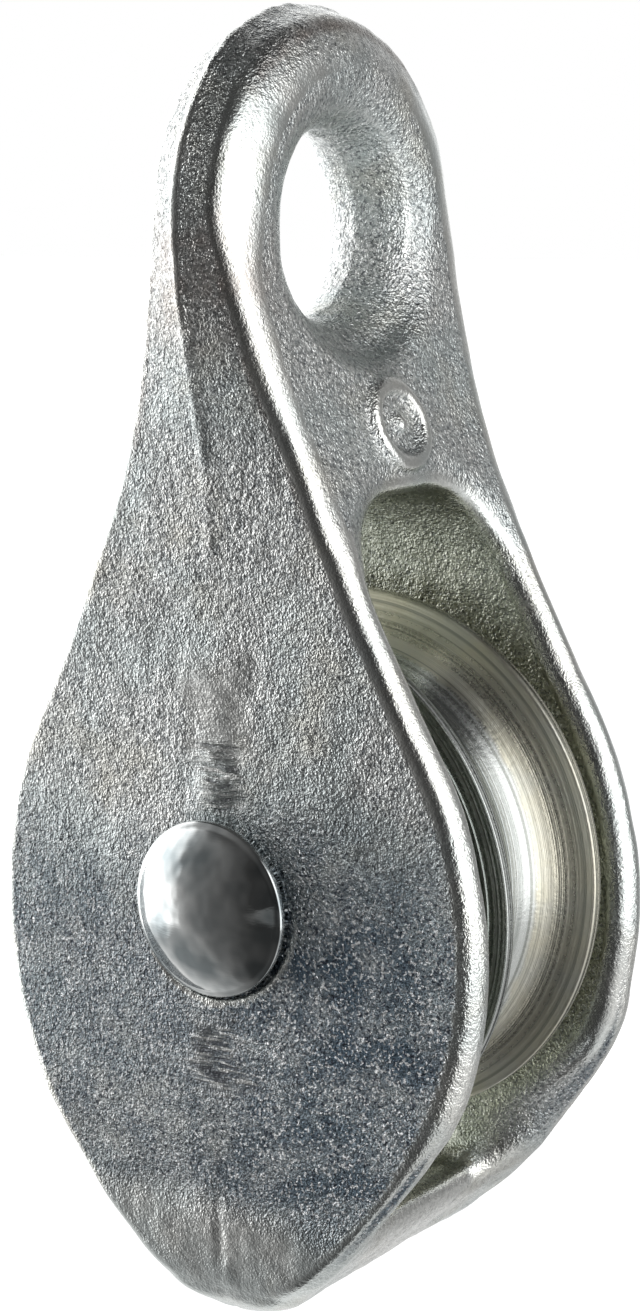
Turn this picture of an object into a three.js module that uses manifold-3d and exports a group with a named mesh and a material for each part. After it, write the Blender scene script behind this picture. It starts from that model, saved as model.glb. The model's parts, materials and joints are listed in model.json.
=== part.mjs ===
// Rope pulley: a single-sheave block. One iron casting carries the hanging eye, both cheeks and
// the solid tail; a headed rivet through the cheeks is the axle of a turned, grooved sheave.
// Millimetres, +Z up. The origin is the centre of the hanging eye. X is the axis of the eye and
// the way the rope runs through the slot; Y is the axle's axis, and the rivet's head is at -Y.
import * as THREE from 'three';
import { LoftGeometry } from 'three/addons/geometries/LoftGeometry.js';
import * as BufferGeometryUtils from 'three/addons/utils/BufferGeometryUtils.js';
import Module from 'manifold-3d';

const wasm = await Module();
wasm.setup();

// ---- driving dimensions ----
const SHEAVE_RADIUS = 25;
const AXLE_Z = -58.5;               // the axle below the centre of the eye
const GAP = 0.3;                    // clearance between pieces that touch or run on each other
const MERGE_DISTANCE = 1e-4;

const EYE_SEGMENTS = 48;            // facets round each turned shape
const EYE_WALL_STEPS = 6;
const SHEAVE_SEGMENTS = 64;
const AXLE_SEGMENTS = 40;
const MARK_SEGMENTS = 32;

const EYE_HALF_WIDTH = 5.5;         // half the eye's thickness along X
const EYE_WAIST_RADIUS = 8.1;       // the hole's tightest radius, at mid thickness
const EYE_MOUTH_RADIUS = 11.8;      // the hole's radius at the eye's flat sides
const EYE_RIM_RADIUS = 16.2;        // outer edge of the flat sides
const EYE_CREST_RADIUS = 19.1;      // the parting-line crest round the outside

const SLOT_HALF_WIDTH = 11.1;
const SLOT_TOP = 35.9;              // above the axle
const SLOT_TOP_CORNER = 9;
const SLOT_FLOOR_RADIUS = 30.8;     // the floor curves round under the sheave

const MARK_Z = 41.3;                // the raised ring cast on each narrow side, above the axle
const MARK_RADIUS = 3.8;
const MARK_WIDTH = 0.9;
const MARK_HEIGHT = 0.5;
const MARK_DOT_RADIUS = 0.9;

const RIM_FILLET = 2.4;             // length of the rounding on the cheeks' rims
const FILLET_SHARE = 0.6;           // the rounding takes at most this share of the half depth

const HEAD_RADIUS = 7.9;            // the rivet's domed head
const HEAD_HEIGHT = 3.7;
const HEAD_EDGE = 0.5;              // thickness of the head at its edge
const SEAT_Y = 15.9;                // floor of the round seats cut in the cheeks
const SEAT_RADIUS = 8.6;
const SHANK_RADIUS = 5;
const RIVET_WASHER_RADIUS = 7.4;
const RIVET_WASHER_THICKNESS = 1.4;
const PEEN_RADIUS = 5.9;            // the hammered end of the rivet
const PEEN_HEIGHT = 2.6;

const SHEAVE_HALF_WIDTH = 8.2;
const FLANGE_THICKNESS = 1.3;
const GROOVE_DEPTH = 5.8;           // the round groove takes a 12 mm rope
const LIP_CHAMFER = 0.3;
const WEB_HALF_WIDTH = 5.2;
const RIM_WALL = 2;                 // between the groove's bottom and the thin web
const RIM_SLOPE = 1.4;              // the rim's inner side slopes out this far along the radius
const HUB_RADIUS = 11;
const HUB_HALF_WIDTH = 9.5;
const BUSH_RADIUS = 7.7;
const THRUST_WASHER_RADIUS = 10;

// ---- the casting's stations: height from the axle, half depth along X, rim and crest along Y ----
const STATIONS = [
  { z: -38.8, depth: 1.2, rim: 8.5, crest: 9.0 },
  { z: -38.2, depth: 3.2, rim: 12.4, crest: 13.0 },
  { z: -37.0, depth: 5.6, rim: 14.8, crest: 15.5 },
  { z: -35.0, depth: 8.2, rim: 15.9, crest: 16.8 },
  { z: -31.3, depth: 11.9, rim: 16.2, crest: 17.3 },
  { z: -25.0, depth: 17.6, rim: 16.0, crest: 17.4 },
  { z: -16.3, depth: 22.9, rim: 15.0, crest: 17.2 },
  { z: -8.0, depth: 25.3, rim: 14.2, crest: 16.9 },
  { z: 0.0, depth: 25.8, rim: 13.9, crest: 16.5 },
  { z: 10.0, depth: 23.9, rim: 13.7, crest: 15.8 },
  { z: 20.0, depth: 19.3, rim: 14.1, crest: 15.4 },
  { z: 30.0, depth: 14.2, rim: 14.2, crest: 15.3 },
  { z: 40.0, depth: 9.9, rim: 14.4, crest: 16.1 },
  { z: 50.0, depth: 6.7, rim: 15.7, crest: 18.2 },
  { z: 54.0, depth: 5.8, rim: 16.0, crest: 18.8 },
  { z: 58.5, depth: 5.5, rim: 16.2, crest: 19.1 },
];
const SECTIONS_PER_STATION = 3;

// ---- solids and booleans ----
// Drops the triangles that collapsed where a turned profile meets its axis.
function wholeTriangles(index) {
  const kept = [];
  for (let i = 0; i < index.length; i += 3) {
    const [a, b, c] = index.slice(i, i + 3);
    if (a !== b && b !== c && c !== a) kept.push(a, b, c);
  }
  return kept;
}

// Six times the signed volume: negative when the faces point inward.
function signedVolume(positions, index) {
  const [a, b, c] = [new THREE.Vector3(), new THREE.Vector3(), new THREE.Vector3()];
  let total = 0;
  for (let i = 0; i < index.length; i += 3) {
    a.fromArray(positions, 3 * index[i]);
    b.fromArray(positions, 3 * index[i + 1]);
    c.fromArray(positions, 3 * index[i + 2]);
    total += a.dot(b.cross(c));
  }
  return total;
}

function solid(geometry) {
  const bare = new THREE.BufferGeometry().copy(geometry);
  bare.deleteAttribute('normal');
  bare.deleteAttribute('uv');
  const merged = BufferGeometryUtils.mergeVertices(bare, MERGE_DISTANCE);
  const positions = merged.attributes.position.array;
  const index = wholeTriangles(merged.index.array);
  if (signedVolume(positions, index) < 0) index.reverse();
  return new wasm.Manifold(new wasm.Mesh({
    numProp: 3,
    vertProperties: new Float32Array(positions),
    triVerts: new Uint32Array(index),
  }));
}

function geometryOf(manifold) {
  const mesh = manifold.getMesh();
  const geometry = new THREE.BufferGeometry();
  geometry.setAttribute('position', new THREE.BufferAttribute(mesh.vertProperties, 3));
  geometry.setIndex(new THREE.BufferAttribute(mesh.triVerts, 1));
  geometry.computeVertexNormals();
  return geometry;
}

// A closed profile of [radius, height] turned about Y, the axle's direction.
function turned(profile, segments) {
  const points = [...profile, profile[0]].map(([radius, height]) => new THREE.Vector2(radius, height));
  return new THREE.LatheGeometry(points, segments);
}

// Points of a circular arc in the profile plane, from one angle to another, in radians.
function arcPoints(centreRadius, centreHeight, radius, from, to, steps) {
  const points = [];
  for (let i = 0; i <= steps; i += 1) {
    const angle = from + (to - from) * i / steps;
    points.push([centreRadius + radius * Math.cos(angle), centreHeight + radius * Math.sin(angle)]);
  }
  return points;
}

function ring(inner, outer, low, high, segments) {
  return turned([[inner, low], [outer, low], [outer, high], [inner, high]], segments);
}

// ---- the casting ----
// One smooth curve of a station value against height, sampled into the sections' values.
function sampled(key) {
  const curve = new THREE.SplineCurve(STATIONS.map((s) => new THREE.Vector2(s.z, s[key])));
  return curve.getPoints((STATIONS.length - 1) * SECTIONS_PER_STATION);
}

// A quarter of a section: crest, facet, rounded rim and flat narrow side.
function quarterSection(depth, rim, crest) {
  const fillet = Math.min(RIM_FILLET, FILLET_SHARE * depth);
  const corner = new THREE.Vector2(depth, rim + fillet / 4);
  const ridge = new THREE.Vector2(0, crest);
  const facetEnd = corner.clone().add(ridge.sub(corner).setLength(fillet));
  const sideEnd = new THREE.Vector2(depth, corner.y - fillet);
  const rounding = new THREE.QuadraticBezierCurve(facetEnd, corner, sideEnd).getPoints(3);
  return [new THREE.Vector2(0, crest), ...rounding, new THREE.Vector2(depth, rim / 2)];
}

function section(z, depth, rim, crest) {
  const quarter = quarterSection(depth, rim, crest);
  const right = [...quarter.map((p) => [p.x, -p.y]), ...quarter.slice().reverse().map((p) => [p.x, p.y])];
  const left = right.slice(1, -1).reverse().map(([x, y]) => [-x, y]);
  return [...right, ...left].map(([x, y]) => new THREE.Vector3(x, y, AXLE_Z + z));
}

function bodyBlank() {
  const depths = sampled('depth');
  const rims = sampled('rim');
  const crests = sampled('crest');
  const sections = depths.map((d, i) => section(d.x, d.y, rims[i].y, crests[i].y));
  return solid(new LoftGeometry(sections, { capStart: true, capEnd: true }));
}

// The hole's round wall bulges inward between the eye's two flat sides.
function eyeWall(steps) {
  const bulge = EYE_MOUTH_RADIUS - EYE_WAIST_RADIUS;
  const radius = (EYE_HALF_WIDTH ** 2 + bulge ** 2) / (2 * bulge);
  const half = Math.asin(EYE_HALF_WIDTH / radius);
  return arcPoints(EYE_WAIST_RADIUS + radius, 0, radius, Math.PI + half, Math.PI - half, steps);
}

function eyeRing() {
  const edge = RIM_FILLET / 2;
  const rounding = [
    [EYE_RIM_RADIUS - edge, EYE_HALF_WIDTH],
    [EYE_RIM_RADIUS + edge * 0.4, EYE_HALF_WIDTH - edge * 0.5],
    [EYE_RIM_RADIUS + edge, EYE_HALF_WIDTH - edge * 1.2],
  ];
  const otherRounding = rounding.slice().reverse().map(([radius, height]) => [radius, -height]);
  const profile = [...eyeWall(EYE_WALL_STEPS), ...rounding, [EYE_CREST_RADIUS, 0], ...otherRounding];
  return solid(turned(profile, EYE_SEGMENTS).rotateZ(Math.PI / 2));
}

function eyeHole() {
  const reach = 4 * EYE_HALF_WIDTH;
  const profile = [
    [0, -reach],
    [EYE_MOUTH_RADIUS, -reach],
    ...eyeWall(EYE_WALL_STEPS),
    [EYE_MOUTH_RADIUS, reach],
    [0, reach],
  ];
  return solid(turned(profile, EYE_SEGMENTS).rotateZ(Math.PI / 2));
}

function slotCutter() {
  const top = AXLE_Z + SLOT_TOP;
  const bottom = AXLE_Z - SLOT_FLOOR_RADIUS - GAP;
  const wide = SLOT_HALF_WIDTH;
  const shape = new THREE.Shape();
  shape.moveTo(-wide, bottom);
  shape.lineTo(wide, bottom);
  shape.absarc(wide - SLOT_TOP_CORNER, top - SLOT_TOP_CORNER, SLOT_TOP_CORNER, 0, Math.PI / 2);
  shape.absarc(SLOT_TOP_CORNER - wide, top - SLOT_TOP_CORNER, SLOT_TOP_CORNER, Math.PI / 2, Math.PI);
  const length = 3 * SHEAVE_RADIUS;
  const geometry = new THREE.ExtrudeGeometry(shape, { depth: length, bevelEnabled: false, curveSegments: 8 });
  geometry.translate(0, 0, -length / 2);
  geometry.rotateX(Math.PI / 2).rotateZ(Math.PI / 2);
  const above = new THREE.BoxGeometry(length, 3 * wide, length).translate(0, 0, AXLE_Z + length / 2);
  const round = new THREE.CylinderGeometry(SLOT_FLOOR_RADIUS, SLOT_FLOOR_RADIUS, 3 * wide, SHEAVE_SEGMENTS);
  const reach = solid(round.translate(0, 0, AXLE_Z)).add(solid(above));
  return solid(geometry).intersect(reach);
}

// A closed cylinder on the axle's line, between two places along Y.
function axleCylinder(radius, low, high) {
  const geometry = new THREE.CylinderGeometry(radius, radius, high - low, AXLE_SEGMENTS);
  return solid(geometry.translate(0, (low + high) / 2, AXLE_Z));
}

function axleCuts() {
  const outside = SEAT_Y + 2 * HEAD_HEIGHT;
  const bore = axleCylinder(SHANK_RADIUS + GAP, -outside, outside);
  const frontSeat = axleCylinder(SEAT_RADIUS, -outside, -SEAT_Y);
  const backSeat = axleCylinder(SEAT_RADIUS, SEAT_Y, outside);
  return bore.add(frontSeat).add(backSeat);
}

// A raised ring with a centre dot, standing on the neck's sloping narrow side.
function castMark(side) {
  const lower = STATIONS.find((s) => s.z === 40);
  const upper = STATIONS.find((s) => s.z === 50);
  const slope = Math.atan2(lower.depth - upper.depth, upper.z - lower.z);
  const faceX = lower.depth - (MARK_Z - lower.z) * Math.tan(slope);
  const sunk = -3 * MARK_HEIGHT;
  const circle = ring(MARK_RADIUS - MARK_WIDTH, MARK_RADIUS, sunk, MARK_HEIGHT, MARK_SEGMENTS);
  const dot = ring(0, MARK_DOT_RADIUS, sunk, MARK_HEIGHT, MARK_SEGMENTS / 2);
  const place = (geometry) => {
    geometry.rotateZ(-Math.PI / 2).rotateY(-slope).translate(faceX, 0, AXLE_Z + MARK_Z);
    return solid(side > 0 ? geometry : geometry.rotateZ(Math.PI));
  };
  return place(circle).add(place(dot));
}

function castBody() {
  const blank = bodyBlank().add(eyeRing()).add(castMark(1)).add(castMark(-1));
  return blank.subtract(eyeHole()).subtract(slotCutter()).subtract(axleCuts());
}

// ---- the rivet and its washer ----
// Height of a shallow dome, as profile points from its edge to its top on the axis.
function domePoints(edgeRadius, height, steps) {
  const radius = (edgeRadius ** 2 + height ** 2) / (2 * height);
  const half = Math.asin(edgeRadius / radius);
  return arcPoints(0, height - radius, radius, Math.PI / 2 - half, Math.PI / 2, steps);
}

function axleRivet() {
  const headSeat = SEAT_Y + GAP;
  const peenSeat = SEAT_Y + GAP + RIVET_WASHER_THICKNESS + GAP;
  const headDome = domePoints(HEAD_RADIUS, HEAD_HEIGHT - HEAD_EDGE, 6);
  const head = headDome.map(([r, h]) => [r, -headSeat - HEAD_EDGE - h]);
  const peenDome = domePoints(PEEN_RADIUS, PEEN_HEIGHT - HEAD_EDGE, 4);
  const peen = peenDome.map(([r, h]) => [r, peenSeat + HEAD_EDGE + h]);
  const profile = [
    ...head.slice(0, -1).reverse(),
    [HEAD_RADIUS, -headSeat],
    [SHANK_RADIUS, -headSeat],
    [SHANK_RADIUS, peenSeat],
    [PEEN_RADIUS, peenSeat],
    ...peen.slice(0, -1),
    [0, peenSeat + PEEN_HEIGHT],
  ];
  return solid(turned([[0, -headSeat - HEAD_HEIGHT], ...profile], AXLE_SEGMENTS));
}

function rivetWasher() {
  const low = SEAT_Y + GAP;
  const high = low + RIVET_WASHER_THICKNESS;
  return solid(ring(SHANK_RADIUS + GAP, RIVET_WASHER_RADIUS, low, high, AXLE_SEGMENTS));
}

// ---- the sheave, its bush and the thrust washers ----
function groovePoints(lip, steps) {
  const depth = GROOVE_DEPTH - LIP_CHAMFER;
  const radius = (lip ** 2 + depth ** 2) / (2 * depth);
  const half = Math.asin(lip / radius);
  const centre = SHEAVE_RADIUS - GROOVE_DEPTH + radius;
  return arcPoints(centre, 0, radius, Math.PI - half, Math.PI + half, steps);
}

function sheave() {
  const half = SHEAVE_HALF_WIDTH;
  const lip = half - FLANGE_THICKNESS;
  const webEdge = SHEAVE_RADIUS - GROOVE_DEPTH - RIM_WALL;
  const side = [
    [BUSH_RADIUS + GAP, HUB_HALF_WIDTH],
    [HUB_RADIUS, HUB_HALF_WIDTH],
    [HUB_RADIUS, WEB_HALF_WIDTH],
    [webEdge, WEB_HALF_WIDTH],
    [webEdge + RIM_SLOPE, half],
    [SHEAVE_RADIUS - LIP_CHAMFER, half],
    [SHEAVE_RADIUS, half - LIP_CHAMFER],
    [SHEAVE_RADIUS, lip + LIP_CHAMFER],
  ];
  const otherSide = side.slice().reverse().map(([r, h]) => [r, -h]);
  return solid(turned([...side, ...groovePoints(lip, 8), ...otherSide], SHEAVE_SEGMENTS));
}

function sheaveBush() {
  return solid(ring(SHANK_RADIUS + GAP, BUSH_RADIUS, -HUB_HALF_WIDTH, HUB_HALF_WIDTH, AXLE_SEGMENTS));
}

function thrustWasher(side) {
  const inner = HUB_HALF_WIDTH + GAP;
  const outer = SLOT_HALF_WIDTH - GAP;
  const [low, high] = side > 0 ? [inner, outer] : [-outer, -inner];
  return solid(ring(SHANK_RADIUS + GAP, THRUST_WASHER_RADIUS, low, high, AXLE_SEGMENTS));
}

// ---- the assembly ----
const GALVANISED = { color: 0xb4b6b2, roughness: 0.5, metalness: 0.9 };
const PLATED = { color: 0xc9c7bc, roughness: 0.3, metalness: 1 };
const POLISHED = { color: 0xc4c9c9, roughness: 0.15, metalness: 1 };
const BRONZE = { color: 0xa9824a, roughness: 0.45, metalness: 0.9 };

function part(name, manifold, finish) {
  const mesh = new THREE.Mesh(geometryOf(manifold), new THREE.MeshStandardMaterial(finish));
  mesh.name = name;
  return mesh;
}

const onAxle = new THREE.Group();
onAxle.position.z = AXLE_Z;
onAxle.add(
  part('axle_rivet', axleRivet(), POLISHED),
  part('rivet_washer', rivetWasher(), PLATED),
  part('sheave', sheave(), PLATED),
  part('sheave_bush', sheaveBush(), BRONZE),
  part('thrust_washer_front', thrustWasher(-1), PLATED),
  part('thrust_washer_back', thrustWasher(1), PLATED),
);

const pulley = new THREE.Group();
pulley.add(part('cast_body', castBody(), GALVANISED), onAxle);

export default pulley;
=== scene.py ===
import json
import math

import bpy
import numpy as np
from mathutils import Matrix, Vector


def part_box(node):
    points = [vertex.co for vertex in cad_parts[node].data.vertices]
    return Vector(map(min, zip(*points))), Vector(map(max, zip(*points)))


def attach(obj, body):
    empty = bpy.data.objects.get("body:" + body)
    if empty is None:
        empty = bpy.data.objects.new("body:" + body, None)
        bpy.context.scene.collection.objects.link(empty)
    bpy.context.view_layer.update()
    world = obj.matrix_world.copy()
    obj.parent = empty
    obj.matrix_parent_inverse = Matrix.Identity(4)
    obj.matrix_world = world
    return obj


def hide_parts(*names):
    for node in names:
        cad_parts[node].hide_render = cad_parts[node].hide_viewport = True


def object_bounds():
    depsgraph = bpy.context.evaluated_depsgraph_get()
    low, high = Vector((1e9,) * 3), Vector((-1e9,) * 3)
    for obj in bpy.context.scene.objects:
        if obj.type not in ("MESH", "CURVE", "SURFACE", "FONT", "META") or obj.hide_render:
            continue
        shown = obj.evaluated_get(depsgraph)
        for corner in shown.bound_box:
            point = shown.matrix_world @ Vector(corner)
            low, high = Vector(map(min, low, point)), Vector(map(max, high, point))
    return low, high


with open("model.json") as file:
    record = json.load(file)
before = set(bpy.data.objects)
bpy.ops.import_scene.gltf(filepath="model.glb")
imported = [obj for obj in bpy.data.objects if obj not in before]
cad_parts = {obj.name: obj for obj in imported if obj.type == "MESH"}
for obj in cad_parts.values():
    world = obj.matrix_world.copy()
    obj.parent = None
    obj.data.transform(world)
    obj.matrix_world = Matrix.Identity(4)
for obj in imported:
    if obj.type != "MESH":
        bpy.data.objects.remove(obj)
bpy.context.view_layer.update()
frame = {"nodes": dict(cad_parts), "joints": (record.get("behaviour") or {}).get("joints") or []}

MM = 0.001
AXLE = Vector(next(j for j in frame["joints"] if j["name"] == "sheave_spin")["pos_m"])

# ---- the camera: where the photographer stood, from the axle ----
AZIMUTH = math.radians(34.96)
ELEVATION = math.radians(10.21)
ROLL = math.radians(1.33)
DISTANCE = 266.5 * MM
RISE = 19.45 * MM               # the view's centre lies this far above the axle
LENS = 79.5
FILM_HEIGHT = 36.0
FLOOR_SIZE = 3.0
FLOOR_DROP = 60 * MM

# ---- the casting ----
EYE_Z = -AXLE.z / MM
EYE_HALF_WIDTH = 5.5
EYE_WAIST_RADIUS = 8.1
EYE_MOUTH_RADIUS = 11.8
EYE_FLARE = 1.2                 # past the hole's round part its wall straightens over this length
SLOT_HALF_WIDTH = 11.1
SLOT_TOP = 35.0
SLOT_TOP_CORNER = 8.4
SLOT_FLOOR_RADIUS = 30.4        # the slot's floor curves round under the sheave
SLOT_FLOOR_CORNER = 2.5
SEAT_Y = 15.9
SEAT_RADIUS = 8.2
BORE_RADIUS = 5.3
GAP = 0.3
WASHER_THICKNESS = 1.4
MARK_Z = 41.3
MARK_RADIUS = 3.4
MARK_BEAD = 0.78
TAIL_END = -38.7                # the tail's flat lower end
CORNER_STAND = 0.9              # the faces and sides would meet this far outside the bevelled rim
RIDGE_WIDTH = 0.25              # how round the ridge down the middle of each face is
BEVEL_TURN = math.radians(38)   # how far the rim's bevel turns from the side towards the face
RIM_BEVEL = 1.1                 # depth of the cheeks' rim bevel below the sharp corner
NECK_BEVEL = 0.8                # the same on the neck
EYE_BEVEL = 1.5                 # the same round the eye
RIM_ROUNDING = 0.6
SLOT_BEVEL = 1.25               # the bevel along the slot's edge
SLOT_ROUNDING = 0.9             # rounding of the slot's edge at the cheeks
SLOT_ROUNDING_LOW = 4.5         # and under the sheave
LIP_ROUNDING = 1.2              # rounding of the eye hole's lips
SMALL_ROUNDING = 0.3            # of the rivet seats' edges and the tail's end
CASTING_VOXEL = 0.36            # grid step of the casting's mesh

# ---- the casting's skin ----
EDGE_BEND = (0.32, 0.70)        # the bending, per millimetre, where worn edges begin and are full
CUTS_ABOVE = (8.0, 15.5)        # heights between which a file cut across the ridge
CUTS_BELOW = (-16.5, -10.5)
CAST_GRAIN_DEPTH = 0.24
FILE_STROKE_DEPTH = 0.9
SHADE_SPOT = (15.0, -15.0, -6.0) # middles of the darkest patches of painted shade on the cheeks
SHADE_SPOT_BACK = (-12.0, 15.0, 4.0)
EYE_STAIN = (2.0, -17.5, 55.0)  # and of the brown stain under the eye's crest

# ---- the turned pieces ----
SHEAVE_HALF_WIDTH = 8.2
FLANGE_THICKNESS = 1.3
GROOVE_DEPTH = 5.8
LIP_CHAMFER = 0.3
GROOVE_SHARE = 0.985            # the groove's arc stops just short of the flanges
HUB_RADIUS = 11.0
WEB_HALF_WIDTH = 5.2
RIM_WALL = 2.0                  # between the groove's bottom and the thin web
RIM_SLOPE = 1.4
SHANK_RADIUS = 5.0
PEEN_RADIUS = 5.9
PEEN_EDGE = 0.5                 # thickness of the hammered end at its edge
HEAD_WALL = 1.0                 # thickness of the head at its edge

# Stations up the casting: height, half depth along X, rim and parting-line crest along Y.
STATIONS = [
    (-38.8, 1.2, 8.5, 9.0),
    (-38.2, 3.2, 12.4, 13.0),
    (-37.0, 5.6, 14.8, 15.5),
    (-35.0, 8.2, 15.9, 16.8),
    (-31.3, 12.6, 16.2, 17.3),
    (-25.0, 18.3, 16.0, 17.4),
    (-16.3, 23.5, 15.0, 17.2),
    (-8.0, 25.9, 14.3, 16.9),
    (0.0, 26.3, 14.1, 16.5),
    (10.0, 24.3, 13.9, 15.8),
    (20.0, 19.3, 14.1, 15.4),
    (30.0, 14.2, 14.2, 15.3),
    (40.0, 9.9, 14.4, 16.1),
    (50.0, 6.7, 15.7, 18.2),
    (54.0, 5.8, 16.0, 18.9),
    (58.5, 5.5, 16.2, 19.2),
]


# ---- number fields ----
def smooth_max(a, b, radius):
    """The larger of two distance fields, with a round edge of this radius where they meet."""
    inside = np.minimum(np.maximum(a, b), -radius)
    return inside + np.hypot(np.maximum(a + radius, 0.0), np.maximum(b + radius, 0.0))


def smooth_min(a, b, radius):
    return -smooth_max(-a, -b, radius)


def soft_abs(a, width):
    return np.sqrt(a * a + width * width)


def station_curve(column):
    """A smooth curve through the stations, as a function of height."""
    knots = np.array([s[0] for s in STATIONS])
    values = np.array([s[column] for s in STATIONS])
    slopes = np.gradient(values, knots)
    slopes[-1] = 0.0

    def value(z):
        z = np.clip(z, knots[0], knots[-1])
        i = np.clip(np.searchsorted(knots, z) - 1, 0, len(knots) - 2)
        step = knots[i + 1] - knots[i]
        t = (z - knots[i]) / step
        rise = values[i] * (1 + 2 * t) * (1 - t) ** 2 + values[i + 1] * t * t * (3 - 2 * t)
        return rise + step * (slopes[i] * t * (1 - t) ** 2 - slopes[i + 1] * t * t * (1 - t))

    return value


def lattice(ix, iy, iz, seed):
    """A repeatable number from -1 to 1 for each whole-number point."""
    h = (ix * 374761393 + iy * 668265263 + iz * 2147483647 + seed * 974711) & 0xFFFFFFFF
    h = ((h ^ (h >> 13)) * 1274126177) & 0xFFFFFFFF
    h = h ^ (h >> 16)
    return (h & 0xFFFF) / 32767.5 - 1.0


def noise(p, size, seed):
    """Smooth noise from -1 to 1 at points p, with bumps of about this size."""
    q = p / size
    base = np.floor(q).astype(np.int64)
    t = q - base
    t = t * t * (3 - 2 * t)
    total = np.zeros(len(p))
    for dx in (0, 1):
        for dy in (0, 1):
            for dz in (0, 1):
                weight = np.abs(1 - dx - t[:, 0]) * np.abs(1 - dy - t[:, 1]) * np.abs(1 - dz - t[:, 2])
                total += weight * lattice(base[:, 0] + dx, base[:, 1] + dy, base[:, 2] + dz, seed)
    return total


def ramp(value, low, high):
    t = np.clip((value - low) / (high - low), 0.0, 1.0)
    return t * t * (3 - 2 * t)


# ---- the casting's shape, as a distance field ----
HALF_DEPTH = station_curve(1)
RIM = station_curve(2)
CREST = station_curve(3)


def blank_sides(x, y, z):
    """Fields of the flat sides and of the crowned faces, which turn round the eye above its centre."""
    depth = HALF_DEPTH(z)
    crest = CREST(z)
    lean = HALF_DEPTH(z + 0.5) - HALF_DEPTH(z - 0.5)
    side = (np.abs(x) - depth) / np.sqrt(1 + lean * lean)
    slope = (crest - RIM(z) - CORNER_STAND) / depth
    reach = np.hypot(y, np.maximum(z - EYE_Z, 0.0))
    face = (reach - crest + slope * soft_abs(x, RIDGE_WIDTH)) / np.sqrt(1 + slope * slope)
    return side, face


def bevel_plane(a, b, depth):
    return a * math.cos(BEVEL_TURN) + b * math.sin(BEVEL_TURN) + depth


def rim_bevel(side, face, z):
    """Field of the bevel between sides and faces, wider round the eye and fading into the tail."""
    depth = RIM_BEVEL + (NECK_BEVEL - RIM_BEVEL) * ramp(z, 22.0, 42.0)
    depth += (EYE_BEVEL - NECK_BEVEL) * ramp(z, 54.0, 61.0)
    depth = np.minimum(depth, 0.3 * HALF_DEPTH(z))
    return bevel_plane(side, face, depth)


def blank_field(x, y, z):
    """Cheeks, neck, eye and tail as one solid, before the holes and the slot."""
    side, face = blank_sides(x, y, z)
    rounding = np.minimum(RIM_ROUNDING, 0.5 * HALF_DEPTH(z))
    body = smooth_max(smooth_max(side, face, rounding), rim_bevel(side, face, z), rounding)
    return smooth_max(body, TAIL_END - z, SMALL_ROUNDING)


def eye_wall(x):
    """Radius of the eye's hole: tightest at mid thickness, flaring to both sides."""
    bulge = EYE_MOUTH_RADIUS - EYE_WAIST_RADIUS
    radius = (EYE_HALF_WIDTH ** 2 + bulge ** 2) / (2 * bulge)
    turn = 0.8 * radius
    inner = radius - np.sqrt(radius ** 2 - np.minimum(np.abs(x), turn) ** 2)
    beyond = np.maximum(np.abs(x) - turn, 0.0) / EYE_FLARE
    return EYE_WAIST_RADIUS + inner + 4 / 3 * EYE_FLARE * (1 - np.exp(-beyond))


def slot_field(x, y, z):
    """The space for the sheave: two flat walls, a rounded arch above and a curved floor below."""
    wall = np.abs(y) - SLOT_HALF_WIDTH
    arch = smooth_max(wall, z - SLOT_TOP, SLOT_TOP_CORNER)
    floor = np.where(z < 0, np.hypot(x, z), np.abs(x)) - SLOT_FLOOR_RADIUS
    under = smooth_max(wall, floor, SLOT_FLOOR_CORNER)
    return np.where(z > 0, arch, under)


def unmarked_field(x, y, z):
    hole = np.hypot(y, z - EYE_Z) - eye_wall(x)
    solid = smooth_max(blank_field(x, y, z), -0.8 * hole, LIP_ROUNDING)
    rounding = SLOT_ROUNDING + (SLOT_ROUNDING_LOW - SLOT_ROUNDING) * ramp(z, -14.0, -26.0)
    slot = slot_field(x, y, z)
    bevel = bevel_plane(solid, -slot, SLOT_BEVEL)
    solid = smooth_max(smooth_max(solid, -slot, rounding), bevel, rounding)
    around = np.hypot(x, z)
    seat = smooth_max(around - SEAT_RADIUS, SEAT_Y - np.abs(y), SMALL_ROUNDING)
    solid = smooth_max(solid, -seat, SMALL_ROUNDING)
    return smooth_max(solid, BORE_RADIUS - around, 0.2)


def casting_field(x, y, z):
    """The casting with the raised ring and dot under its eye."""
    solid = unmarked_field(x, y, z)
    dot = np.hypot(y, z - MARK_Z)
    line = np.minimum(np.abs(dot - MARK_RADIUS), dot)
    return smooth_min(solid, np.hypot(line, solid) - MARK_BEAD, 0.4)


# ---- from a distance field to a mesh ----
def gradient(field, p, step=0.05):
    g = np.empty_like(p)
    for axis in range(3):
        shift = np.zeros(3)
        shift[axis] = step
        g[:, axis] = field(*(p + shift).T) - field(*(p - shift).T)
    return g / (2 * step)


def corner_slices(a, axis):
    low = [slice(None)] * 3
    high = [slice(None)] * 3
    low[axis] = slice(None, -1)
    high[axis] = slice(1, None)
    return a[tuple(low)], a[tuple(high)]


def cell_points(values, inside):
    """One point in each grid cell that the surface crosses: the mean of its edges' crossings."""
    shape = np.array(values.shape) - 1
    total = np.zeros((*shape, 3), np.float32)
    count = np.zeros(shape, np.float32)
    for axis in range(3):
        low, high = corner_slices(values, axis)
        in_low, in_high = corner_slices(inside, axis)
        crossed = in_low != in_high
        part = np.where(crossed, low / np.where(crossed, low - high, 1), 0)
        others = [a for a in range(3) if a != axis]
        for da in (0, 1):
            for db in (0, 1):
                pick = [slice(None)] * 3
                pick[others[0]] = slice(da, da + shape[others[0]])
                pick[others[1]] = slice(db, db + shape[others[1]])
                hit = crossed[tuple(pick)]
                count += hit
                total[..., axis] += np.where(hit, part[tuple(pick)], 0)
                total[..., others[0]] += hit * da
                total[..., others[1]] += hit * db
    return total, count


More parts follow.
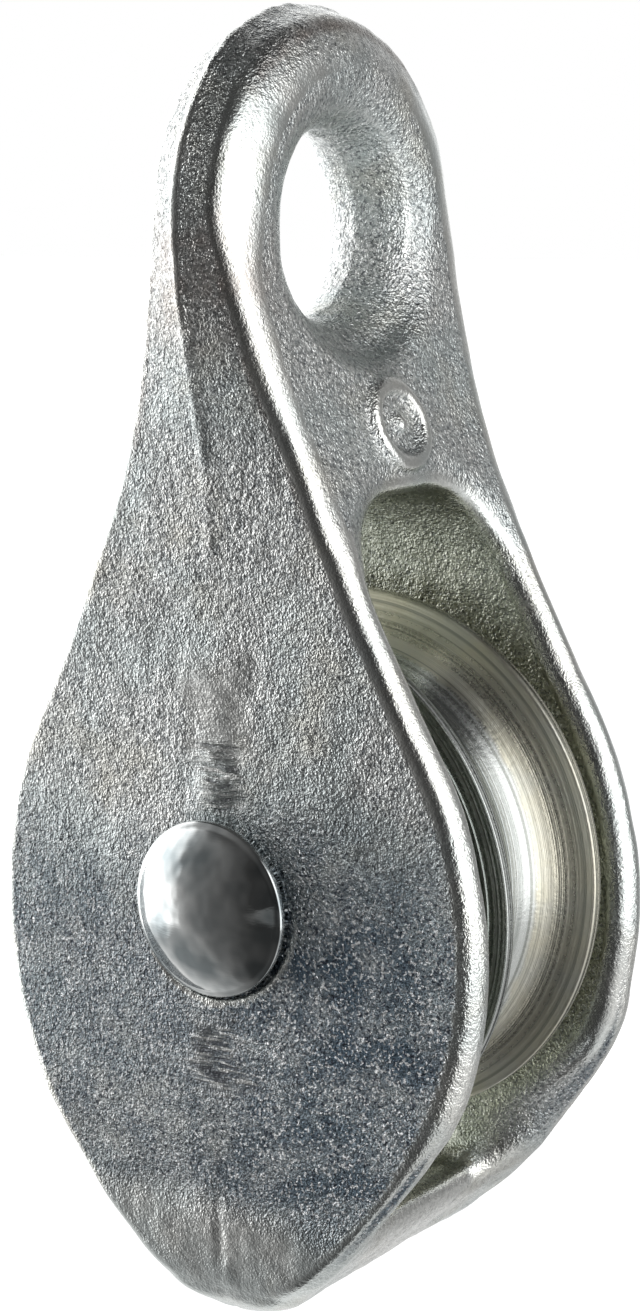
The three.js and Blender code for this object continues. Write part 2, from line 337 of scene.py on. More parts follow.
def net_faces(inside, ids):
    """One quad round each grid edge that the surface crosses."""
    quads = []
    for axis in range(3):
        in_low, in_high = corner_slices(inside, axis)
        a, b = (axis + 1) % 3, (axis + 2) % 3
        core = [slice(None)] * 3
        core[a] = slice(1, -1)
        core[b] = slice(1, -1)
        low = in_low[tuple(core)]
        high = in_high[tuple(core)]
        at = np.argwhere(low != high)
        outward = low[tuple(at.T)]
        cells = []
        for da, db in ((0, 0), (1, 0), (1, 1), (0, 1)):
            cell = at.copy()
            cell[:, a] += da
            cell[:, b] += db
            cells.append(ids[tuple(cell.T)])
        quad = np.stack(cells, 1)
        quad[~outward] = quad[~outward][:, ::-1]
        quads.append(quad)
    return np.concatenate(quads)


def surface_of(field, low, high, voxel):
    """Vertices and quads of the field's zero surface inside a box, drawn onto it exactly."""
    axes = [np.arange(lo - 2 * voxel, hi + 3 * voxel, voxel) for lo, hi in zip(low, high)]
    values = np.empty([len(a) for a in axes], np.float32)
    y, z = np.meshgrid(axes[1], axes[2], indexing="ij")
    for i, x in enumerate(axes[0]):
        values[i] = field(np.full_like(y, x), y, z)
    inside = values < 0
    total, count = cell_points(values, inside)
    used = count > 0
    ids = np.full(count.shape, -1, np.int64)
    ids[used] = np.arange(used.sum())
    cells = np.argwhere(used)
    points = (cells + total[used] / count[used][:, None]) * voxel + np.array([a[0] for a in axes])
    for _ in range(3):
        g = gradient(field, points)
        size = np.maximum((g * g).sum(1), 0.05)
        points -= g * np.clip(field(*points.T) / size, -voxel, voxel)[:, None]
    return points, net_faces(inside, ids)


# ---- mesh objects ----
def add_mesh(name, points, faces, body, replaced, finish, masks=None):
    """A smooth-shaded piece from points in millimetres, riding on its body in place of a node."""
    mesh = bpy.data.meshes.new(name)
    co = np.asarray(points, np.float64) * MM + np.array(AXLE)
    mesh.vertices.add(len(co))
    mesh.vertices.foreach_set("co", co.astype(np.float32).ravel())
    sizes = np.array([len(f) for f in faces]) if isinstance(faces, list) else None
    if sizes is None:
        flat = faces.astype(np.int32).ravel()
        sizes = np.full(len(faces), faces.shape[1])
    else:
        flat = np.concatenate([np.asarray(f, np.int32) for f in faces])
    mesh.loops.add(len(flat))
    mesh.loops.foreach_set("vertex_index", flat)
    mesh.polygons.add(len(sizes))
    mesh.polygons.foreach_set("loop_start", np.concatenate([[0], np.cumsum(sizes)[:-1]]).astype(np.int32))
    mesh.update(calc_edges=True)
    mesh.shade_smooth()
    for key, values in (masks or {}).items():
        mesh.attributes.new(key, "FLOAT", "POINT").data.foreach_set("value", values.astype(np.float32))
    piece = bpy.data.objects.new(name, mesh)
    bpy.context.scene.collection.objects.link(piece)
    piece.data.materials.append(finish)
    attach(piece, body)
    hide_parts(replaced)
    return piece


def lathe(profile, segments):
    """Points and quads of a closed profile of (radius, y) turned about the axle's line."""
    profile = np.asarray(profile, float)
    turn = np.arange(segments) * 2 * math.pi / segments
    radius, along = profile[:, 0], profile[:, 1]
    x = np.outer(np.cos(turn), radius)
    z = np.outer(np.sin(turn), radius)
    y = np.broadcast_to(along, x.shape)
    points = np.stack([x, y, z], -1).reshape(-1, 3)
    n = len(profile)
    i, j = np.meshgrid(np.arange(segments), np.arange(n), indexing="ij")
    i2, j2 = (i + 1) % segments, (j + 1) % n
    quads = np.stack([i * n + j, i * n + j2, i2 * n + j2, i2 * n + j], -1).reshape(-1, 4)
    return points, quads


# ---- materials ----
class Nodes:
    """A short way to write a material's nodes. Lengths in it are millimetres in the rest pose."""

    def __init__(self, name):
        self.material = bpy.data.materials.new(name)
        self.material.use_nodes = True
        self.tree = self.material.node_tree
        self.shader = self.tree.nodes["Principled BSDF"]
        place = self.add("ShaderNodeTexCoord").outputs["Object"]
        self.place = self.vector("SCALE", place, scale=1 / MM)

    def add(self, kind, **settings):
        node = self.tree.nodes.new(kind)
        for key, value in settings.items():
            setattr(node, key, value)
        return node

    def put(self, socket, value):
        if isinstance(value, bpy.types.NodeSocket):
            self.tree.links.new(value, socket)
        elif isinstance(value, tuple) and len(value) == 3 and socket.type == "RGBA":
            socket.default_value = (*value, 1.0)
        else:
            socket.default_value = value

    def vector(self, operation, a, b=None, scale=None):
        node = self.add("ShaderNodeVectorMath", operation=operation)
        self.put(node.inputs[0], a)
        if b is not None:
            self.put(node.inputs[1], b)
        if scale is not None:
            node.inputs["Scale"].default_value = scale
        return node.outputs[0]

    def math(self, operation, a, b=0.0, c=0.0):
        node = self.add("ShaderNodeMath", operation=operation)
        for socket, value in zip(node.inputs, (a, b, c)):
            self.put(socket, value)
        return node.outputs[0]

    def noise(self, size, detail=2.0, roughness=0.5, stretch=(1, 1, 1), at=None):
        node = self.add("ShaderNodeTexNoise")
        self.put(node.inputs["Vector"], self.vector("MULTIPLY", at or self.place, stretch))
        node.inputs["Scale"].default_value = 1 / size
        node.inputs["Detail"].default_value = detail
        node.inputs["Roughness"].default_value = roughness
        return node.outputs["Fac"]

    def cells(self, size):
        node = self.add("ShaderNodeTexVoronoi")
        self.put(node.inputs["Vector"], self.place)
        node.inputs["Scale"].default_value = 1 / size
        return node.outputs["Distance"]

    def remap(self, value, low, high, to_low=0.0, to_high=1.0):
        node = self.add("ShaderNodeMapRange")
        keys = ("Value", "From Min", "From Max", "To Min", "To Max")
        for key, v in zip(keys, (value, low, high, to_low, to_high)):
            self.put(node.inputs[key], v)
        return node.outputs["Result"]

    def mix(self, factor, a, b):
        node = self.add("ShaderNodeMix", data_type="RGBA")
        self.put(node.inputs["Factor"], factor)
        self.put(node.inputs[6], a)
        self.put(node.inputs[7], b)
        return node.outputs[2]

    def bump(self, height, depth, under=None):
        """depth is the bump's height in millimetres."""
        node = self.add("ShaderNodeBump")
        self.put(node.inputs["Height"], height)
        node.inputs["Distance"].default_value = depth * MM
        if under is not None:
            self.put(node.inputs["Normal"], under)
        return node.outputs["Normal"]

    def split(self, vector):
        node = self.add("ShaderNodeSeparateXYZ")
        self.put(node.inputs[0], vector)
        return node.outputs

    def set(self, **values):
        for key, value in values.items():
            self.put(self.shader.inputs[key.replace("_", " ")], value)
        return self.material


def near(n, centre, inner, outer):
    """1 within inner millimetres of a point given from the axle's centre, 0 beyond outer."""
    away = n.vector("SUBTRACT", n.place, tuple(c + a / MM for c, a in zip(centre, AXLE)))
    node = n.add("ShaderNodeVectorMath", operation="LENGTH")
    n.put(node.inputs[0], away)
    return n.remap(node.outputs["Value"], outer, inner)


def mask(n, name):
    return n.add("ShaderNodeAttribute", attribute_name=name).outputs["Fac"]


def zinc(n, grain, speck, cloud, worn):
    """Colour of the zinc: bright grains on grey with white specks of painted glint, smoother and warmer
    where it is worn.
    """
    stain = n.noise(11.0, 2.0, 0.5)
    colour = n.mix(n.remap(grain, 0.36, 0.62), (0.42, 0.44, 0.44), (0.93, 0.95, 0.93))
    # Painted glints: white specks mixed into the colour.
    colour = n.mix(n.math("MULTIPLY", speck, 0.7), colour, (1.0, 1.0, 0.98))
    colour = n.mix(n.math("MULTIPLY", worn, 0.75), colour, (0.90, 0.90, 0.86))
    colour = n.mix(n.remap(stain, 0.44, 0.62, 0.0, 0.5), colour, (0.66, 0.74, 0.74))
    return n.mix(n.remap(cloud, 0.52, 0.72, 0.0, 0.55), colour, (0.70, 0.68, 0.60))


def darkened(n, masks, colour, speck, rough_cast):
    """Adds painted shade in near-black blue-grey low on the cheeks, the dull slot walls, and bright and
    dark specks of painted glint and painted shade.
    """
    # Painted shade: near-black blue-grey over the lower cheeks and round two spots, less on the worn
    # edges.
    painted_shade = n.math("MAXIMUM", near(n, SHADE_SPOT, 7, 19), near(n, SHADE_SPOT_BACK, 6, 17))
    painted_shade = n.math("MAXIMUM", painted_shade, n.math("MULTIPLY", masks["lower"], 0.95))
    painted_shade = n.math("MULTIPLY", painted_shade, n.remap(n.noise(4.0, 2.0), 0.36, 0.60, 0.62, 0.95))
    painted_shade = n.math("MULTIPLY", painted_shade, n.math("SUBTRACT", 1.0, masks["edge"]))
    colour = n.mix(painted_shade, colour, (0.07, 0.11, 0.15))
    colour = n.mix(n.math("MULTIPLY", masks["inside"], 0.7), colour, (0.50, 0.52, 0.41))
    # Painted shade: near-black specks on the unworn cast skin.
    shade_speck = n.remap(n.noise(0.33, 1.0, 0.5), 0.44, 0.34)
    spots = n.math("MULTIPLY", shade_speck, rough_cast)
    spots = n.math("MULTIPLY", spots, n.math("MULTIPLY_ADD", masks["lower"], 0.35, 0.60))
    colour = n.mix(spots, colour, (0.05, 0.06, 0.08))
    # Painted glints: white specks on the unworn skin, more on the lower cheeks.
    painted_glint = n.math("MULTIPLY", speck, rough_cast)
    painted_glint = n.math("MULTIPLY", painted_glint, n.math("MULTIPLY", masks["lower"], 0.65))
    return n.mix(painted_glint, colour, (1.0, 1.0, 1.0))


def marked(n, masks, colour, streaks, rub):
    """Adds the file's bright and dark strokes, the line along the rim, brown where the plating is thin and
    darkened as painted shade, and the eye's stain.
    """
    bright = n.math("MULTIPLY", masks["filed"], n.remap(streaks, 0.50, 0.58))
    colour = n.mix(bright, colour, (1.0, 1.0, 0.98))
    dark = n.math("MULTIPLY", masks["filed"], n.remap(streaks, 0.47, 0.38, 0.0, 0.7))
    colour = n.mix(dark, colour, (0.20, 0.20, 0.22))
    # Real brown with painted shade: a dark line next to the rim's bevel.
    brown = n.math("MULTIPLY", masks["rim_brown_and_shade"], n.remap(rub, 0.35, 0.6, 0.3, 0.9))
    colour = n.mix(brown, colour, (0.20, 0.15, 0.13))
    stained = n.math("MULTIPLY", near(n, EYE_STAIN, 3, 9), n.remap(rub, 0.4, 0.6, 0.1, 0.5))
    return n.mix(stained, colour, (0.46, 0.38, 0.34))


def iron_relief(n, masks, grain, cloud, streaks, worn):
    """The cast grain, flatter where worn and coarser low on the cheeks, and the file's strokes."""
    fine = n.math("MULTIPLY", n.noise(0.20, 1.0, 0.5), 0.8)
    pits = n.math("MULTIPLY", n.cells(0.8), -0.3)
    height = n.math("ADD", n.math("ADD", grain, fine), pits)
    power = n.math("MULTIPLY_ADD", worn, -0.75, 1.0)
    power = n.math("MULTIPLY", power, n.remap(cloud, 0.3, 0.7, 0.8, 1.2))
    power = n.math("MULTIPLY", power, n.math("MULTIPLY_ADD", masks["lower"], 0.85, 0.75))
    cast = n.add("ShaderNodeBump")
    n.put(cast.inputs["Height"], height)
    n.put(cast.inputs["Strength"], power)
    cast.inputs["Distance"].default_value = CAST_GRAIN_DEPTH * MM
    filing = n.add("ShaderNodeBump")
    n.put(filing.inputs["Height"], streaks)
    n.put(filing.inputs["Strength"], masks["filed"])
    n.put(filing.inputs["Normal"], cast.outputs["Normal"])
    filing.inputs["Distance"].default_value = FILE_STROKE_DEPTH * MM
    return filing.outputs["Normal"]


def galvanised_iron():
    """A zinc-plated sand casting: bright and grainy, smoother on its worn edges and fettled spots."""
    n = Nodes("galvanised_iron")
    masks = {name: mask(n, name) for name in ("edge", "smooth", "inside", "rim_brown_and_shade", "filed", "lower")}
    grain = n.noise(0.42, 2.0, 0.6)
    speck = n.remap(n.noise(0.30, 1.0, 0.5), 0.56, 0.64)
    streaks = n.noise(0.42, 3.0, 0.65, stretch=(0.10, 0.4, 1))
    cloud = n.noise(7.0, 3.0, 0.6)
    rub = n.noise(3.0, 3.0, 0.6)
    worn = n.math("MAXIMUM", masks["edge"], masks["smooth"])
    rough_cast = n.math("SUBTRACT", 1.0, worn)
    colour = zinc(n, grain, speck, cloud, worn)
    colour = darkened(n, masks, colour, speck, rough_cast)
    colour = marked(n, masks, colour, streaks, rub)
    rough = n.math("ADD", n.remap(rub, 0.3, 0.7, 0.25, 0.33), n.remap(grain, 0.3, 0.7, 0.05, -0.05))
    rough = n.math("SUBTRACT", rough, n.math("MULTIPLY", worn, 0.06))
    rough = n.math("ADD", rough, n.math("MULTIPLY", masks["filed"], 0.15))
    normal = iron_relief(n, masks, grain, cloud, streaks, worn)
    return n.set(Base_Color=colour, Metallic=1.0, Roughness=rough, Normal=normal)


def turned_steel(name, light, dark, stain):
    """Lathe-turned zinc plate: fine rings round the axle, with yellowed bands between them."""
    n = Nodes(name)
    place = n.split(n.vector("SUBTRACT", n.place, tuple(c / MM for c in AXLE)))
    around = n.math("SQRT", n.math("ADD", n.math("POWER", place[0], 2.0), n.math("POWER", place[2], 2.0)))
    joined = n.add("ShaderNodeCombineXYZ")
    n.put(joined.inputs[0], around)
    n.put(joined.inputs[1], place[1])
    section = joined.outputs[0]
    rings = n.noise(0.30, 3.0, 0.7, at=section)
    broad = n.noise(0.9, 2.0, 0.6, at=section)
    lines = n.noise(0.40, 1.0, 0.5, at=section)
    speck = n.noise(0.45, 3.0, 0.6)
    cloud = n.noise(5.0, 3.0, 0.6)
    colour = n.mix(n.remap(broad, 0.36, 0.64), dark, light)
    unworn = n.remap(n.math("MULTIPLY_ADD", n.noise(2.5, 1.0), 0.8, place[1]), 4.4, 4.8)
    yellowed = n.math("MULTIPLY", unworn, n.remap(cloud, 0.35, 0.6, 0.55, 0.95))
    colour = n.mix(yellowed, colour, stain)
    colour = n.mix(n.remap(lines, 0.56, 0.64, 0.0, 0.55), colour, (0.18, 0.19, 0.16))
    rough = n.math("ADD", n.remap(broad, 0.35, 0.65, 0.13, 0.30), n.remap(speck, 0.45, 0.7, 0.0, 0.08))
    rough = n.math("ADD", rough, n.math("MULTIPLY", unworn, 0.10))
    normal = n.bump(rings, 0.07, n.bump(speck, 0.03))
    return n.set(Base_Color=colour, Metallic=1.0, Roughness=rough, Normal=normal)


def polished_steel():
    """The rivet: a smooth bright dome, smudged, with hairline scratches."""
    n = Nodes("polished_steel")
    smudge = n.noise(4.2, 2.0, 0.5)
    fog = n.noise(0.9, 3.0, 0.6)
    hairs = n.noise(0.35, 2.0, 0.6, stretch=(0.25, 1, 2.5))
    colour = n.mix(n.remap(smudge, 0.38, 0.62), (0.36, 0.40, 0.41), (0.88, 0.90, 0.89))
    rough = n.math("ADD", n.remap(smudge, 0.38, 0.65, 0.03, 0.09), n.remap(fog, 0.45, 0.65, 0.0, 0.04))
    normal = n.bump(hairs, 0.004, n.bump(smudge, 0.22))
    return n.set(Base_Color=colour, Metallic=1.0, Roughness=rough, Normal=normal)


def sintered_bronze():
    """The bush: dull, porous and darkened by oil."""
    n = Nodes("sintered_bronze")
    pores = n.cells(0.35)
    oil = n.noise(2.5, 2.0)
    colour = n.mix(n.remap(oil, 0.35, 0.65), (0.30, 0.20, 0.10), (0.60, 0.43, 0.22))
    rough = n.remap(oil, 0.3, 0.7, 0.35, 0.6)
    return n.set(Base_Color=colour, Metallic=1.0, Roughness=rough, Normal=n.bump(pores, 0.04))


def pale_floor():
    """Matt white, lit enough to come out white, with faint clouding."""
    n = Nodes("pale_floor")
    cloud = n.noise(60.0, 2.0)
    n.set(Base_Color=n.mix(cloud, (0.80, 0.80, 0.80), (0.84, 0.84, 0.84)), Roughness=0.9)
    return n.set(Emission_Color=(1.0, 1.0, 1.0), Emission_Strength=0.80)


# ---- the pieces ----
def bending(field, p, step=0.7):
    """How sharply the surface bends at each point, per millimetre."""
    total = -6 * field(*p.T)
    for axis in range(3):
        for side in (-step, step):
            shift = np.zeros(3)
            shift[axis] = side
            total += field(*(p + shift).T)
    return total / step ** 2


def fettled(p):
    """The spots on the front and back ridge where a grinder went across the casting."""
    x, z = p[:, 0], p[:, 2]
    wander = 2.2 * noise(p, 3.2, 11) + 0.8 * noise(p, 1.3, 12)
    across = ramp(np.abs(x + wander - 0.8), 5.0, 1.6)
    above = ramp(z + wander, 5.5, 9.0) * ramp(z - wander, 27.0, 18.0)
    below = ramp(z + wander, -18.0, -15.5) * ramp(z - wander, -8.5, -10.5)
    outside = ramp(np.abs(p[:, 1]), 12.5, 13.5)
    return across * np.maximum(above, below) * outside


def worn_edges(p, side, face):
    """1 on the edges that handling has polished, on the bevelled rims and on the raised mark."""
    x, y, z = p.T
    edge = ramp(bending(unmarked_field, p), *EDGE_BEND)
    edge = np.maximum(edge, ramp(np.abs(rim_bevel(side, face, z)), 0.3, 0.1))
    edge *= 1 - 0.75 * ramp(z + 2 * noise(p, 3.0, 16), 69.0, 72.5)
    dot = np.hypot(y, z - MARK_Z)
    mark = ramp(np.minimum(np.abs(dot - MARK_RADIUS), dot), 0.7, 0.4) * ramp(np.abs(x), 6.5, 7.0)
    return np.maximum(edge, mark)


def file_cuts(z):
    """1 at the two heights where a file cut across the ridge."""
    above = ramp(z, CUTS_ABOVE[0], CUTS_ABOVE[0] + 1.5) * ramp(z, CUTS_ABOVE[1], CUTS_ABOVE[1] - 2.0)
    below = ramp(z, CUTS_BELOW[0], CUTS_BELOW[0] + 1.5) * ramp(z, CUTS_BELOW[1], CUTS_BELOW[1] - 1.0)
    return above + below


def slot_walls(x, y, z):
    """1 on the walls of the space for the sheave."""
    inside = ramp(SLOT_HALF_WIDTH + 0.5 - np.abs(y), 0.0, 0.6) * ramp(SLOT_TOP + 0.6 - z, 0.0, 1.0)
    return inside * ramp(-slot_field(x, y, z), -0.7, -0.2)


def lower_cheeks(p, skin):
    """1 on the lower half of the cheeks' outer faces. Noise at the skin's points bends its borders."""
    x, y, z = p.T
    lower = ramp(z + 4 * noise(skin, 9.0, 14) + 2 * noise(skin, 3.0, 17), 12.0, 0.0)
    lower *= ramp(z + 3 * noise(skin, 6.0, 15), -30.0, -24.0)
    # The painted shade laid on this region is deeper towards +X on the front cheek and towards -X on the
    # back.
    lower *= 0.75 + 0.25 * ramp(-x * np.sign(y), -8.0, 8.0)
    return lower * ramp(np.abs(y), 12.0, 13.0)


def skin_height(p, edge, ground, cuts):
    """How far the skin stands out at each point: sand grain, parting line and grinder marks."""
    x, y, z = p.T
    seat = ramp(np.hypot(x, z), SEAT_RADIUS + 0.6, SEAT_RADIUS)
    tilted = np.stack([x * 0.22, y, z + 0.12 * x], 1)
    streaks = noise(tilted, 0.75, 7) + 0.5 * noise(tilted, 0.4, 13)
    seam_shape = np.exp(-(x / 0.45) ** 2)
    seam = 0.22 * seam_shape * ramp(z, 24.0, 40.0) - 0.16 * seam_shape * ramp(z, -15.0, -20.0)
    seam *= 0.75 + 0.5 * noise(p, 1.6, 8)
    sand = 0.10 * noise(p, 5.0, 1) + 0.05 * noise(p, 2.2, 2) + 0.05 * noise(p, 1.1, 3) * (1 - edge)
    lift = np.where(seat > 0.5, 0.0, sand + seam) + ground * ((0.08 + 0.3 * cuts) * streaks - 0.05)
    return lift * (1 - 0.6 * seat)


def make_casting(finish):
    low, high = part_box("cast_body")
    low = (low - AXLE) / MM
    high = (high - AXLE) / MM
    p, quads = surface_of(casting_field, low, high, CASTING_VOXEL)
    normals = gradient(casting_field, p)
    normals /= np.linalg.norm(normals, axis=1)[:, None]
    x, y, z = p.T
    side, face = blank_sides(x, y, z)
    edge = worn_edges(p, side, face)
    # Next to the rim's bevel: a brown line where the plating is thin, deepened as painted shade.
    rim_brown_and_shade = ramp(-side, 2.6, 1.5) * ramp(np.abs(face), 1.2, 0.6) * ramp(z, -14.0, 0.0) * (1 - edge)
    inside = slot_walls(x, y, z)
    ground = fettled(p)
    cuts = file_cuts(z)
    tail = ramp(z + 2 * noise(p, 4.0, 5), -24.0, -31.0)
    eye = ramp(z + 2 * noise(p, 6.0, 6), 42.0, 55.0) * ramp(np.abs(y), 9.0, 14.0)
    skin = p + normals * skin_height(p, edge, ground, cuts)[:, None]
    masks = {
        "edge": edge,
        "smooth": np.clip(0.7 * ground + 0.75 * tail + 0.1 * eye + 0.2 * inside, 0, 1),
        "inside": inside,
        "rim_brown_and_shade": rim_brown_and_shade,
        "filed": ground * np.minimum(cuts + 0.3, 1),
        "lower": lower_cheeks(p, skin),
    }
    add_mesh("casting", skin, quads, "casting", "cast_body", finish, masks)


def rounded(profile, cuts, steps=4):
    """The closed profile with its corners rounded by these cut lengths."""
    profile = [np.array(p, float) for p in profile]
    points = []
    for i, corner in enumerate(profile):
        cut = cuts[i] if isinstance(cuts, (list, tuple)) else cuts
        if cut == 0:
            points.append(corner)
            continue
        before = profile[i - 1] - corner
        after = profile[(i + 1) % len(profile)] - corner
        start = corner + before * cut / np.linalg.norm(before)
        end = corner + after * cut / np.linalg.norm(after)
        for t in np.linspace(0, 1, steps + 1):
            points.append((1 - t) ** 2 * start + 2 * t * (1 - t) * corner + t * t * end)
    return points


def cylinder_size(node):
    """Inner radius, outer radius and both ends along the axle of a turned CAD node."""
    co = np.array([v.co for v in frame["nodes"][node].data.vertices]) / MM - np.array(AXLE) / MM
    r = np.hypot(co[:, 0], co[:, 2])
    return r.min(), r.max(), co[:, 1].min(), co[:, 1].max()


def make_washer(name, node, body, finish, edge=0.25, segments=128):
    inner, outer, low, high = cylinder_size(node)
    profile = rounded([(inner, low), (outer, low), (outer, high), (inner, high)], edge)
    points, quads = lathe(profile, segments)
    return add_mesh(name, points, quads, body, node, finish)


def make_sheave(finish):
    """The wheel: hub, web, rim and groove, with a small turned groove in the flange's land."""
    inner, outer, low, high = cylinder_size("sheave")
    half = SHEAVE_HALF_WIDTH
    lip = half - FLANGE_THICKNESS
    depth = GROOVE_DEPTH
    shoulder = outer - depth - RIM_WALL
    radius = (lip ** 2 + (depth - LIP_CHAMFER) ** 2) / (2 * (depth - LIP_CHAMFER))
    centre = outer - depth + radius
    swing = math.asin(lip / radius) * GROOVE_SHARE
    # Each corner of the wheel's side is (radius, y, length cut off by its rounding).
    corners = [
        (inner, high, 0.3),
        (HUB_RADIUS, high, 0.4),
        (HUB_RADIUS, WEB_HALF_WIDTH, 0.8),
        (shoulder, WEB_HALF_WIDTH, 0.8),
        (shoulder + RIM_SLOPE, half, 0.8),
        (outer - 1.9, half, 0.05),
        (outer - 2.0, half - 0.12, 0.05),
        (outer, half - 0.12, 0.18),
        (outer, half - 0.5, 0.05),
        (outer - 0.2, half - 0.62, 0.04),
        (outer - 0.2, half - 0.74, 0.04),
        (outer, half - 0.86, 0.05),
        (outer, lip + 0.1, 0.2),
    ]
    side = [(r, y) for r, y, cut in corners]
    cuts = [cut for r, y, cut in corners]
    turn = np.linspace(math.pi - swing, math.pi + swing, 41)
    groove = [(centre + radius * math.cos(t), radius * math.sin(t)) for t in turn]
    other = [(r, -y) for r, y in reversed(side)]
    profile = rounded(side + groove + other, cuts + [0] * len(groove) + cuts[::-1])
    points, quads = lathe(profile[::-1], 256)
    add_mesh("sheave_wheel", points, quads, "wheel", "sheave", finish)


def dome(edge_radius, height, base, side, steps=24):
    """Profile points of a shallow dome from its edge to the axis, on one side along the axle."""
    radius = (edge_radius ** 2 + height ** 2) / (2 * height)
    half = math.asin(edge_radius / radius)
    angles = np.linspace(half, 0, steps)
    return [(radius * math.sin(a), side * (base + height - radius + radius * math.cos(a))) for a in angles]


def make_rivet(finish):
    """The axle: a domed head at -Y, the shank, and a hammered end at +Y."""
    inner, outer, low, high = cylinder_size("axle_rivet")
    head_seat = SEAT_Y + GAP
    peen_seat = head_seat + WASHER_THICKNESS + GAP
    wall = head_seat + HEAD_WALL
    head = dome(outer - 0.4, -low - wall - 0.15, wall + 0.15, -1)
    rim = [(outer - 0.15, -wall - 0.08), (outer - 0.03, -wall + 0.04), (outer, -wall + 0.2)]
    under = [
        (outer, -head_seat),
        (SHANK_RADIUS, -head_seat),
        (SHANK_RADIUS, peen_seat),
        (PEEN_RADIUS, peen_seat),
    ]
    tail = dome(PEEN_RADIUS, high - peen_seat - PEEN_EDGE, peen_seat + PEEN_EDGE, 1)
    points, faces = revolve_capped(head[::-1] + rim + under + tail, 160)
    points = np.array(points)
    hammered = ramp(points[:, 1], peen_seat + PEEN_EDGE, peen_seat + PEEN_EDGE + 0.8)
    points[:, 1] += hammered * np.minimum(0.18 * noise(points, 2.2, 9), 0.0)
    add_mesh("rivet", points, faces, "casting", "axle_rivet", finish)


def revolve_capped(profile, segments):
    """Points and faces of an open profile that starts and ends on the axis."""
    ends = [profile[0], profile[-1]]
    rings = profile[1:-1]
    n = len(rings)
    turn = np.arange(segments) * 2 * math.pi / segments
    points = [(r * math.cos(a), y, r * math.sin(a)) for a in turn for r, y in rings]
    points += [(0.0, ends[0][1], 0.0), (0.0, ends[1][1], 0.0)]
    first, last = len(points) - 2, len(points) - 1
    faces = []
    for i in range(segments):
        k = (i + 1) % segments
        faces.append((first, i * n, k * n))
        for j in range(n - 1):
            faces.append((i * n + j, i * n + j + 1, k * n + j + 1, k * n + j))
        faces.append((i * n + n - 1, last, k * n + n - 1))
    return points, faces


def make_pieces():
    plated = turned_steel("plated_steel", (0.74, 0.76, 0.74), (0.46, 0.49, 0.47), (0.75, 0.72, 0.59))
    polished = polished_steel()
    make_casting(galvanised_iron())
    make_sheave(plated)
    make_rivet(polished)
    make_washer("washer_under_peen", "rivet_washer", "casting", plated)
    make_washer("front_washer", "thrust_washer_front", "front_washer", plated)
    make_washer("back_washer", "thrust_washer_back", "back_washer", plated)
    bush = make_washer("bush", "sheave_bush", "wheel", sintered_bronze(), edge=0.4)


# ---- the studio ----
def make_camera():
    sin, cos = math.sin, math.cos
    back = Vector((sin(AZIMUTH) * cos(ELEVATION), -cos(AZIMUTH) * cos(ELEVATION), sin(ELEVATION)))
    level_right = Vector((cos(AZIMUTH), sin(AZIMUTH), 0))
    level_up = back.cross(level_right)
    right = level_right * cos(ROLL) - level_up * sin(ROLL)
    up = level_right * sin(ROLL) + level_up * cos(ROLL)
    data = bpy.data.cameras.new("camera")
    data.sensor_fit = "VERTICAL"
    data.sensor_height = FILM_HEIGHT
    data.lens = LENS
    data.clip_start = 0.01
    camera = bpy.data.objects.new("camera", data)
    bpy.context.scene.collection.objects.link(camera)
    turn = Matrix((right, up, back)).transposed().to_4x4()
    camera.matrix_world = Matrix.Translation(AXLE + back * DISTANCE + up * RISE) @ turn
    bpy.context.scene.camera = camera


def make_floor():
    """A pale floor below the hanging pulley. Reflections see the studio through it."""
    low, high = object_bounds()
    mesh = bpy.data.meshes.new("floor")
    corners = [(-1, -1), (1, -1), (1, 1), (-1, 1)]
    height = low[2] - FLOOR_DROP
    mesh.from_pydata([(x * FLOOR_SIZE, y * FLOOR_SIZE, height) for x, y in corners], [], [(0, 1, 2, 3)])
    floor = bpy.data.objects.new("floor", mesh)
    bpy.context.scene.collection.objects.link(floor)
    floor.data.materials.append(pale_floor())
    floor.visible_glossy = False
    floor.visible_diffuse = False


def curve_ramp(nodes, stops):
    """A colour ramp of greys from (position, brightness) pairs."""
    ramp_node = nodes.new("ShaderNodeValToRGB")
    elements = ramp_node.color_ramp.elements
    while len(elements) < len(stops):
        elements.new(0.5)
    for element, (position, grey) in zip(elements, stops):
        element.position = position
        element.color = (grey, grey, grey, 1.0)
    return ramp_node


# Brightness round the studio, from the direction (degrees, 0 at the front, 90 towards +X), at eye
# level and below it: a big soft box at the left, a dark front, a tall panel at the right. The
# values were chosen so that the casting's patches come out about as bright as in the photo.
ROUND_THE_ROOM = [
    (-180, 0.50), (-165, 0.75), (-150, 1.6), (-82, 2.4), (-72, 2.3), (-62, 1.5), (-50, 0.38),
    (-34, 0.21), (-15, 0.11), (20, 0.03), (40, 0.045), (53, 0.9), (60, 2.0), (98, 2.0),
    (112, 0.7), (128, 0.27), (150, 0.25), (180, 0.42),
]
BELOW = [
    (-180, 0.5), (-150, 0.9), (-95, 0.75), (-70, 0.46), (-45, 0.32), (-20, 0.14),
    (10, 0.05), (35, 0.04), (60, 0.45), (100, 0.8), (150, 0.35), (180, 0.5),
]
CEILING = 0.055
BAND = 0.16                     # a faint bright band at the right, just below eye level


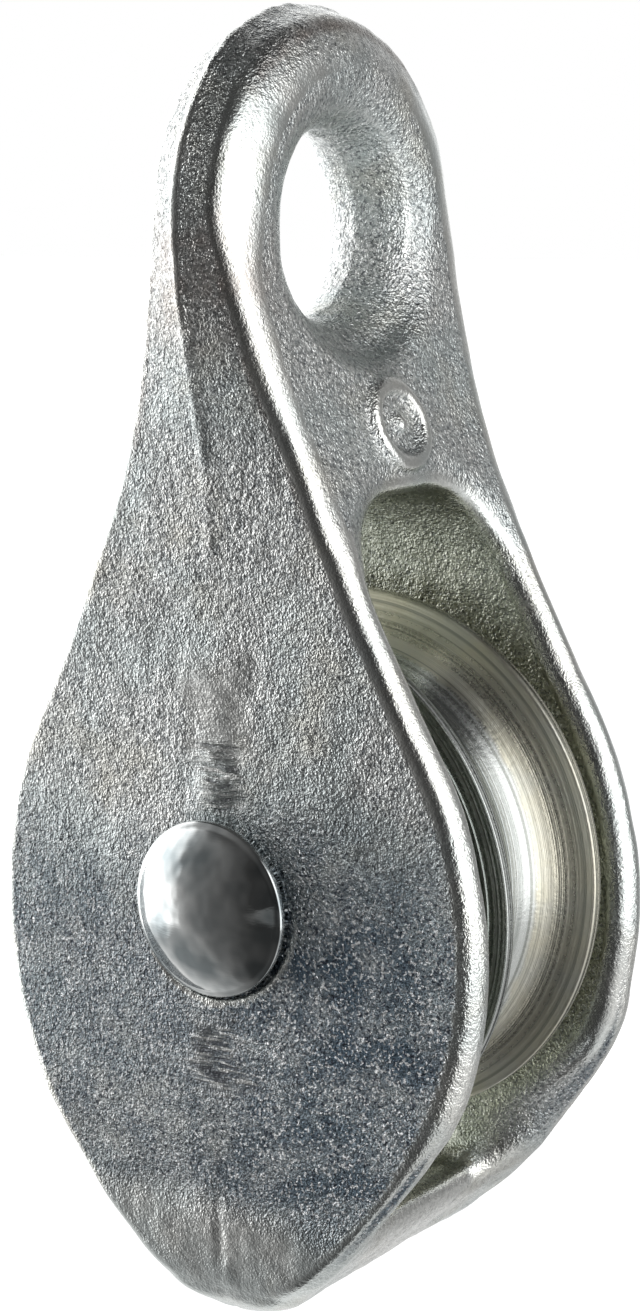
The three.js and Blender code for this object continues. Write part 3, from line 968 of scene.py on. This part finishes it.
def make_world():
    world = bpy.data.worlds.new("studio")
    bpy.context.scene.world = world
    world.use_nodes = True
    nodes, links = world.node_tree.nodes, world.node_tree.links

    def math_node(operation, a, b=0.0, c=0.0):
        node = nodes.new("ShaderNodeMath")
        node.operation = operation
        for socket, value in zip(node.inputs, (a, b, c)):
            if isinstance(value, bpy.types.NodeSocket):
                links.new(value, socket)
            else:
                socket.default_value = value
        return node.outputs[0]

    def step_node(value, low, high, start=0.0, end=1.0):
        node = nodes.new("ShaderNodeMapRange")
        node.interpolation_type = "SMOOTHSTEP"
        links.new(value, node.inputs["Value"])
        for key, number in zip(("From Min", "From Max", "To Min", "To Max"), (low, high, start, end)):
            node.inputs[key].default_value = number
        return node.outputs["Result"]

    place = nodes.new("ShaderNodeTexCoord")
    split = nodes.new("ShaderNodeSeparateXYZ")
    links.new(place.outputs["Generated"], split.inputs[0])
    x, y, z = split.outputs
    around = math_node("ARCTAN2", x, math_node("MULTIPLY", y, -1.0))
    share = math_node("MULTIPLY_ADD", around, 0.5 / math.pi, 0.5)
    rise = math_node("MULTIPLY", math_node("ARCSINE", z), 180 / math.pi)
    turn = math_node("MULTIPLY", around, 180 / math.pi)
    level = curve_ramp(nodes, [((d + 180) / 360, grey / 2) for d, grey in ROUND_THE_ROOM])
    below = curve_ramp(nodes, [((d + 180) / 360, grey / 2) for d, grey in BELOW])
    links.new(share, level.inputs[0])
    links.new(share, below.inputs[0])

    def blend(factor, a, b):
        node = nodes.new("ShaderNodeMix")
        for socket, value in ((node.inputs[0], factor), (node.inputs[2], a), (node.inputs[3], b)):
            if isinstance(value, bpy.types.NodeSocket):
                links.new(value, socket)
            else:
                socket.default_value = value
        return node.outputs[0]

    glow = blend(step_node(rise, -18, -28), level.outputs[0], below.outputs[0])
    glow = blend(step_node(rise, 34, 50), glow, CEILING / 2)
    band = math_node("MULTIPLY", step_node(rise, -20, -12), step_node(rise, -4, -9))
    band = math_node("MULTIPLY", band, step_node(turn, 10, 40))
    band = math_node("MULTIPLY", band, step_node(turn, 130, 60))
    glow = math_node("MULTIPLY_ADD", band, BAND / 2, glow)
    seen = nodes.new("ShaderNodeLightPath").outputs["Is Camera Ray"]
    strength = blend(seen, math_node("MULTIPLY", glow, 2.0), 1.0)
    background = nodes["Background"]
    background.inputs["Color"].default_value = (1, 1, 1, 1)
    links.new(strength, background.inputs["Strength"])


bpy.context.scene.view_settings.view_transform = "Standard"
make_camera()
make_pieces()
make_floor()
make_world()
